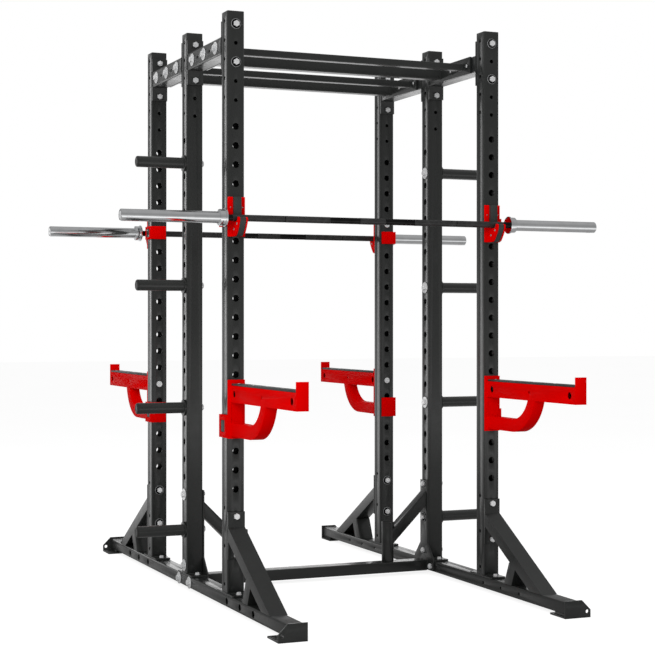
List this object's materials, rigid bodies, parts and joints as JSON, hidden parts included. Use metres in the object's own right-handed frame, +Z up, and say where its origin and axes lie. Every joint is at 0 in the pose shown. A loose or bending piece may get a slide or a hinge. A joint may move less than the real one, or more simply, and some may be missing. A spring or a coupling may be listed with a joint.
{
  "type": "power rack",
  "caption": "Double-sided power rack of square tube with pull-up frames, plate horns, barbells in hooks and swing-out spotter arms.",
  "frame": {"origin": "on the floor at the centre of the rack's footprint", "axes": "+X across the rack to the right, +Y from the front bay to the back bay (long way), +Z up"},
  "size_m": [2.236, 2.685, 2.514],
  "materials": {
    "black_paint": "satin fine-grained powder coat",
    "red_paint": "satin powder coat",
    "liner": "smooth dark polymer liner",
    "plug": "moulded tube cap",
    "zinc": "bright zinc plated",
    "chrome": "polished",
    "black_shaft": "black oxide, knurled"
  },
  "bodies": {
    "frame": {"base_left": "black_paint", "base_right": "black_paint", "feet_front": "black_paint", "feet_back": "black_paint", "sole_plates": "black_paint", "upright_front_left": "black_paint", "upright_front_right": "black_paint", "upright_middle_left": "black_paint", "upright_middle_right": "black_paint", "upright_back_left": "black_paint", "upright_back_right": "black_paint", "upright_caps": "plug", "brace_front_left": "black_paint", "brace_front_right": "black_paint", "brace_back_left": "black_paint", "brace_back_right": "black_paint", "crossbeam": "black_paint", "gusset_left": "black_paint", "gusset_right": "black_paint", "bar_holders": "black_paint", "beam_front_left": "black_paint", "beam_front_right": "black_paint", "beam_back_left": "black_paint", "beam_back_right": "black_paint", "pullup_front": "black_paint", "pullup_back": "black_paint", "horns_left": "black_paint", "horns_right": "black_paint", "horn_caps": "plug", "gusset_bolts": "zinc", "pullup_bolts": "zinc", "horn_bolts": "zinc", "foot_bolts": "zinc", "frame_bolts": "zinc"},
    "hooks_front": {"hook_front_left": "red_paint", "hook_front_right": "red_paint", "hook_liner_front_left": "liner", "hook_liner_front_right": "liner"},
    "barbell_front": {"shaft_front": "black_shaft"},
    "sleeve_front_left": {"sleeve_front_left": "chrome"},
    "sleeve_front_right": {"sleeve_front_right": "chrome"},
    "hooks_back": {"hook_back_left": "red_paint", "hook_back_right": "red_paint", "hook_liner_back_left": "liner", "hook_liner_back_right": "liner"},
    "barbell_back": {"shaft_back": "black_shaft"},
    "sleeve_back_left": {"sleeve_back_left": "chrome"},
    "sleeve_back_right": {"sleeve_back_right": "chrome"},
    "pin_front_left": {"arm_pin_front_left": "zinc"},
    "arm_front_left": {"arm_front_left": "red_paint", "arm_liner_front_left": "liner"},
    "pin_front_right": {"arm_pin_front_right": "zinc"},
    "arm_front_right": {"arm_front_right": "red_paint", "arm_liner_front_right": "liner"},
    "pin_back_left": {"arm_pin_back_left": "zinc"},
    "arm_back_left": {"arm_back_left": "red_paint", "arm_liner_back_left": "liner"},
    "pin_back_right": {"arm_pin_back_right": "zinc"},
    "arm_back_right": {"arm_back_right": "red_paint", "arm_liner_back_right": "liner"}
  },
  "joints": [
    {"name": "hook_height_front", "type": "slide", "parent": "frame", "child": "hooks_front", "axis": [0, 0, 1], "range_m": [-0.32, 0.16]},
    {"name": "bar_lift_front", "type": "slide", "parent": "hooks_front", "child": "barbell_front", "axis": [0, 0, 1], "range_m": [0, 0.25]},
    {"name": "sleeve_spin_front_left", "type": "hinge", "parent": "barbell_front", "child": "sleeve_front_left", "pos_m": [-0.88, -0.6345, 1.643], "axis": [1, 0, 0], "continuous": true},
    {"name": "sleeve_spin_front_right", "type": "hinge", "parent": "barbell_front", "child": "sleeve_front_right", "pos_m": [0.88, -0.6345, 1.643], "axis": [1, 0, 0], "continuous": true},
    {"name": "hook_height_back", "type": "slide", "parent": "frame", "child": "hooks_back", "axis": [0, 0, 1], "range_m": [-0.32, 0.16]},
    {"name": "bar_lift_back", "type": "slide", "parent": "hooks_back", "child": "barbell_back", "axis": [0, 0, 1], "range_m": [0, 0.25]},
    {"name": "sleeve_spin_back_left", "type": "hinge", "parent": "barbell_back", "child": "sleeve_back_left", "pos_m": [-0.88, 0.6345, 1.643], "axis": [1, 0, 0], "continuous": true},
    {"name": "sleeve_spin_back_right", "type": "hinge", "parent": "barbell_back", "child": "sleeve_back_right", "pos_m": [0.88, 0.6345, 1.643], "axis": [1, 0, 0], "continuous": true},
    {"name": "arm_height_front_left", "type": "slide", "parent": "frame", "child": "pin_front_left", "axis": [0, 0, 1], "range_m": [-0.24, 0.24]},
    {"name": "arm_swing_front_left", "type": "hinge", "parent": "pin_front_left", "child": "arm_front_left", "pos_m": [-0.6075, -0.5925, 0.909], "axis": [0, 1, 0], "range_deg": [0, 90]},
    {"name": "arm_height_front_right", "type": "slide", "parent": "frame", "child": "pin_front_right", "axis": [0, 0, 1], "range_m": [-0.24, 0.24]},
    {"name": "arm_swing_front_right", "type": "hinge", "parent": "pin_front_right", "child": "arm_front_right", "pos_m": [0.6075, -0.5925, 0.909], "axis": [0, -1, 0], "range_deg": [0, 90]},
    {"name": "arm_height_back_left", "type": "slide", "parent": "frame", "child": "pin_back_left", "axis": [0, 0, 1], "range_m": [-0.24, 0.24]},
    {"name": "arm_swing_back_left", "type": "hinge", "parent": "pin_back_left", "child": "arm_back_left", "pos_m": [-0.6075, 0.5925, 0.909], "axis": [0, 1, 0], "range_deg": [0, 90]},
    {"name": "arm_height_back_right", "type": "slide", "parent": "frame", "child": "pin_back_right", "axis": [0, 0, 1], "range_m": [-0.24, 0.24]},
    {"name": "arm_swing_back_right", "type": "hinge", "parent": "pin_back_right", "child": "arm_back_right", "pos_m": [0.6075, 0.5925, 0.909], "axis": [0, -1, 0], "range_deg": [0, 90]}
  ]
}
